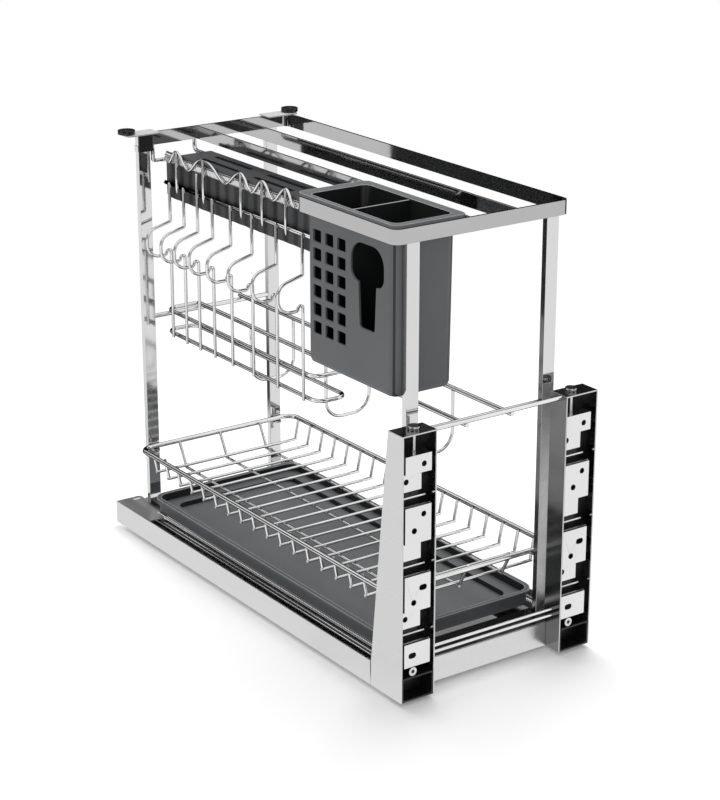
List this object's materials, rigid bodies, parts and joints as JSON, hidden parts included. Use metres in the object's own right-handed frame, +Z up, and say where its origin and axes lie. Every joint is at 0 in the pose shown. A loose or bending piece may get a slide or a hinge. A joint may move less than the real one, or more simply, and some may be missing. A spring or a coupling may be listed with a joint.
{
  "type": "pull-out knife and cutting board rack",
  "caption": "Narrow pull-out cabinet rack on drawer runners, with a utensil bin, a slotted knife block, wire board holders, a low basket, a drip tray and door brackets.",
  "frame": {"origin": "centre of the bounding box on the cabinet floor, rack pushed in", "axes": "+Z up, -Y towards the cabinet door, the way the rack pulls out, +X to the right as seen from the door"},
  "size_m": [0.213, 0.505, 0.4205],
  "materials": {
    "chrome_posts": "polished chrome plate",
    "chrome_bands": "polished chrome plate on flat strip",
    "chrome_wire": "polished chrome wire",
    "chrome_plate": "chrome plated pressed steel",
    "rail_steel": "zinc plated steel, satin",
    "base_steel": "light satin grey steel",
    "screw_steel": "zinc plated steel",
    "grey_plastic": "dark grey, fine matt",
    "dark_plastic": "near black, matt",
    "roller_plastic": "near black, half gloss"
  },
  "bodies": {
    "cabinet_rails": {"cabinet_rail_left": "rail_steel", "cabinet_rail_right": "rail_steel"},
    "middle_left": {"middle_rail_left": "rail_steel"},
    "middle_right": {"middle_rail_right": "rail_steel"},
    "carriage": {"basket_hooks": "chrome_bands", "board_cross_wires": "chrome_wire", "board_hoop_front": "chrome_wire", "board_hoop_middle": "chrome_wire", "board_hoop_rear": "chrome_wire", "board_wires": "chrome_wire", "bracket_tie_rods": "chrome_wire", "cage_wires": "chrome_wire", "carriage_rail_left": "rail_steel", "carriage_rail_right": "rail_steel", "corner_bracket": "dark_plastic", "divider_strip_left": "chrome_bands", "divider_strip_right": "chrome_bands", "door_bracket_left": "base_steel", "door_bracket_right": "base_steel", "drop_wires": "chrome_wire", "end_cap_left": "dark_plastic", "end_cap_right": "dark_plastic", "foot_screws": "screw_steel", "front_base_plate": "base_steel", "front_fascia": "base_steel", "guide_plate_left": "chrome_bands", "guide_plate_right": "chrome_bands", "knife_ring_lower": "chrome_wire", "knife_ring_upper": "chrome_wire", "knife_rod_hanger": "chrome_wire", "knife_rod_middle": "chrome_wire", "knife_rod_right": "chrome_wire", "knife_rod_upper": "chrome_wire", "post_front_left": "chrome_posts", "post_front_right": "chrome_posts", "post_rear_left": "chrome_posts", "post_rear_right": "chrome_posts", "rear_base_plate": "base_steel", "roller_axles": "screw_steel", "side_cover_left": "base_steel", "side_cover_right": "base_steel", "top_band": "chrome_bands", "tray_rails": "base_steel", "wave_wire": "chrome_wire"},
    "bin": {"utensil_bin": "grey_plastic", "bin_partition": "grey_plastic"},
    "block": {"knife_block": "grey_plastic"},
    "basket": {"basket_rim": "chrome_wire", "basket_floor_wires": "chrome_wire", "basket_side_wires_left": "chrome_wire", "basket_side_wires_right": "chrome_wire", "basket_end_wires": "chrome_wire"},
    "tray": {"drip_tray": "grey_plastic"},
    "roller_left": {"guide_roller_left": "roller_plastic"},
    "roller_right": {"guide_roller_right": "roller_plastic"},
    "plate_left": {"door_plate_left": "chrome_plate"},
    "plate_right": {"door_plate_right": "chrome_plate"},
    "screw_left": {"height_screw_left": "screw_steel"},
    "screw_right": {"height_screw_right": "screw_steel"}
  },
  "joints": [
    {"name": "middle_left_slide", "type": "slide", "parent": "cabinet_rails", "child": "middle_left", "axis": [0, -1, 0], "range_m": [0, 0.225]},
    {"name": "middle_right_slide", "type": "slide", "parent": "cabinet_rails", "child": "middle_right", "axis": [0, -1, 0], "range_m": [0, 0.225]},
    {"name": "carriage_slide", "type": "slide", "parent": "cabinet_rails", "child": "carriage", "axis": [0, -1, 0], "range_m": [0, 0.45]},
    {"name": "bin_lift", "type": "slide", "parent": "carriage", "child": "bin", "axis": [0, 0, 1], "range_m": [0, 0.16]},
    {"name": "block_lift", "type": "slide", "parent": "carriage", "child": "block", "axis": [0, 0, 1], "range_m": [0, 0.12]},
    {"name": "basket_lift", "type": "slide", "parent": "carriage", "child": "basket", "axis": [0, 0, 1], "range_m": [0, 0.07]},
    {"name": "tray_lift", "type": "slide", "parent": "carriage", "child": "tray", "axis": [0, 0, 1], "range_m": [0, 0.02]},
    {"name": "roller_left_spin", "type": "hinge", "parent": "carriage", "child": "roller_left", "pos_m": [-0.095, 0.223, 0.4185], "axis": [0, 0, 1], "continuous": true},
    {"name": "roller_right_spin", "type": "hinge", "parent": "carriage", "child": "roller_right", "pos_m": [0.095, 0.223, 0.4185], "axis": [0, 0, 1], "continuous": true},
    {"name": "screw_left_turn", "type": "hinge", "parent": "carriage", "child": "screw_left", "pos_m": [-0.086, -0.24, 0.24], "axis": [0, 0, 1], "range_deg": [-5, 2165]},
    {"name": "screw_right_turn", "type": "hinge", "parent": "carriage", "child": "screw_right", "pos_m": [0.086, -0.24, 0.24], "axis": [0, 0, 1], "range_deg": [-5, 2165]},
    {"name": "plate_left_slide", "type": "slide", "parent": "carriage", "child": "plate_left", "axis": [0, 0, 1], "range_m": [0, 0.006]},
    {"name": "plate_right_slide", "type": "slide", "parent": "carriage", "child": "plate_right", "axis": [0, 0, 1], "range_m": [0, 0.006]}
  ],
  "couplings": [
    {"joint": "middle_left_slide", "follows": "carriage_slide", "ratio": 0.5},
    {"joint": "middle_right_slide", "follows": "carriage_slide", "ratio": 0.5},
    {"joint": "screw_left_turn", "follows": "plate_left_slide", "rad_per_m": 6283.2},
    {"joint": "screw_right_turn", "follows": "plate_right_slide", "rad_per_m": 6283.2}
  ]
}
